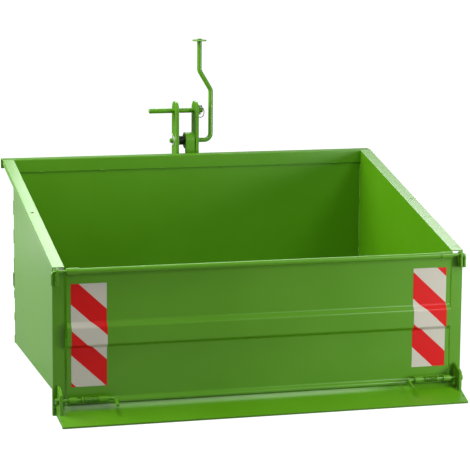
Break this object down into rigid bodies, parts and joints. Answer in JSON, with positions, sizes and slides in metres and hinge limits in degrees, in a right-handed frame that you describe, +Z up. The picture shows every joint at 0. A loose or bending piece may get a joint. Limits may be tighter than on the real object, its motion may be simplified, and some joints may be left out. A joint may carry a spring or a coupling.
{
  "type": "tipping transport box for a tractor hitch",
  "caption": "Tipping sheet-steel transport box on a three-point hitch frame, with swinging tailgate, scraper lip, spring bolts, hinge pins, release catch and lever.",
  "frame": {"origin": "centre of the object's footprint, on the ground it stands on", "axes": "+X to the right seen from the tailgate and along the lower link pins, +Y to the tractor, +Z up"},
  "size_m": [1.494, 1.322, 1.212],
  "materials": {
    "box_paint": "glossy green paint on folded sheet steel",
    "gate_paint": "glossy green paint on folded sheet steel",
    "frame_paint": "glossy green paint on thick flat bar and tube",
    "lip_paint": "glossy green paint on thick plate",
    "latch_paint": "green paint over the spring bolts",
    "zinc_steel": "bright zinc plated",
    "pin_steel": "green paint on round steel",
    "ring_wire": "dark spring wire",
    "black_spring": "black spring steel",
    "sticker_film": "retro-reflective film with diagonal red and white stripes"
  },
  "bodies": {
    "hitch_frame": {"mast_plate_left": "frame_paint", "mast_plate_right": "frame_paint", "frame_side_posts": "frame_paint", "rear_sill": "frame_paint", "link_beam": "frame_paint", "link_plates": "frame_paint", "lower_link_pin_left": "pin_steel", "lower_link_pin_right": "pin_steel", "tip_arm_left": "frame_paint", "tip_arm_right": "frame_paint", "tip_bushes": "frame_paint", "tip_pins": "zinc_steel", "rest_pads": "frame_paint"},
    "box": {"floor_sheet": "box_paint", "back_wall": "box_paint", "back_rim_strip": "box_paint", "side_wall_left": "box_paint", "side_wall_right": "box_paint", "back_stiffener": "box_paint", "floor_ribs": "box_paint", "tip_lugs": "box_paint", "scraper_lip": "lip_paint", "lip_gussets": "lip_paint", "hinge_ear_left": "box_paint", "hinge_ear_right": "box_paint", "latch_ear_left": "box_paint", "latch_ear_right": "box_paint", "keeper_bushes": "box_paint", "striker_bar": "box_paint"},
    "tailgate": {"tailgate_sheet": "gate_paint", "tailgate_top_tube": "gate_paint", "hinge_knuckle_left": "gate_paint", "hinge_knuckle_right": "gate_paint", "warning_sticker_left": "sticker_film", "warning_sticker_right": "sticker_film", "latch_bracket_left": "gate_paint", "latch_bracket_right": "gate_paint", "latch_guides_left": "latch_paint", "latch_guides_right": "latch_paint", "bolt_spring_left": "latch_paint", "bolt_spring_right": "latch_paint"},
    "catch_lever": {"lever_rod": "pin_steel", "lever_disc": "pin_steel", "lever_washer": "zinc_steel", "lever_cotter": "zinc_steel", "catch_hook": "pin_steel", "catch_spring": "black_spring"},
    "top_link_pin": {"top_link_pin": "pin_steel", "top_linch_pin": "zinc_steel"},
    "top_ring": {"top_linch_ring": "ring_wire"},
    "gate_bolt_left": {"gate_bolt_left": "latch_paint", "bolt_collar_left": "latch_paint"},
    "hinge_pin_left": {"hinge_pin_left": "pin_steel"},
    "lower_linch_left": {"lower_linch_pin_left": "zinc_steel"},
    "lower_ring_left": {"lower_linch_ring_left": "ring_wire"},
    "gate_bolt_right": {"gate_bolt_right": "latch_paint", "bolt_collar_right": "latch_paint"},
    "hinge_pin_right": {"hinge_pin_right": "pin_steel"},
    "lower_linch_right": {"lower_linch_pin_right": "zinc_steel"},
    "lower_ring_right": {"lower_linch_ring_right": "ring_wire"}
  },
  "joints": [
    {"name": "box_tip", "type": "hinge", "parent": "hitch_frame", "child": "box", "pos_m": [0, -0.116, 0.02], "axis": [1, 0, 0], "range_deg": [0, 50]},
    {"name": "catch_turn", "type": "hinge", "parent": "hitch_frame", "child": "catch_lever", "pos_m": [0, 0.5515, 0.813], "axis": [1, 0, 0], "range_deg": [-9, 30], "stiffness_Nm_per_rad": 6, "springref_deg": -9},
    {"name": "gate_swing", "type": "hinge", "parent": "box", "child": "tailgate", "pos_m": [0, -0.56, 0.52], "axis": [1, 0, 0], "range_deg": [-100, 0]},
    {"name": "gate_bolt_left_slide", "type": "slide", "parent": "tailgate", "child": "gate_bolt_left", "axis": [-1, 0, 0], "range_m": [-0.025, 0.012], "stiffness_N_per_m": 400, "springref_m": 0.012, "deforming": ["bolt_spring_left"]},
    {"name": "hinge_pin_left_pull", "type": "slide", "parent": "box", "child": "hinge_pin_left", "axis": [-1, 0, 0], "range_m": [0, 0.045]},
    {"name": "lower_linch_left_lift", "type": "slide", "parent": "hitch_frame", "child": "lower_linch_left", "axis": [0, 0, 1], "range_m": [0, 0.05]},
    {"name": "lower_ring_left_flip", "type": "hinge", "parent": "lower_linch_left", "child": "lower_ring_left", "pos_m": [-0.395, 0.619, 0.488], "axis": [0, 1, 0], "range_deg": [-35, 110]},
    {"name": "gate_bolt_right_slide", "type": "slide", "parent": "tailgate", "child": "gate_bolt_right", "axis": [1, 0, 0], "range_m": [-0.025, 0.012], "stiffness_N_per_m": 400, "springref_m": 0.012, "deforming": ["bolt_spring_right"]},
    {"name": "hinge_pin_right_pull", "type": "slide", "parent": "box", "child": "hinge_pin_right", "axis": [1, 0, 0], "range_m": [0, 0.045]},
    {"name": "lower_linch_right_lift", "type": "slide", "parent": "hitch_frame", "child": "lower_linch_right", "axis": [0, 0, 1], "range_m": [0, 0.05]},
    {"name": "lower_ring_right_flip", "type": "hinge", "parent": "lower_linch_right", "child": "lower_ring_right", "pos_m": [0.395, 0.619, 0.488], "axis": [0, -1, 0], "range_deg": [-35, 110]},
    {"name": "top_pin_turn", "type": "hinge", "parent": "hitch_frame", "child": "top_link_pin", "pos_m": [0, 0.5515, 0.931], "axis": [1, 0, 0], "continuous": true},
    {"name": "top_ring_flip", "type": "hinge", "parent": "top_link_pin", "child": "top_ring", "pos_m": [0.06, 0.5515, 0.9465], "axis": [0.5, -0.866, 0], "range_deg": [0, 40]}
  ]
}
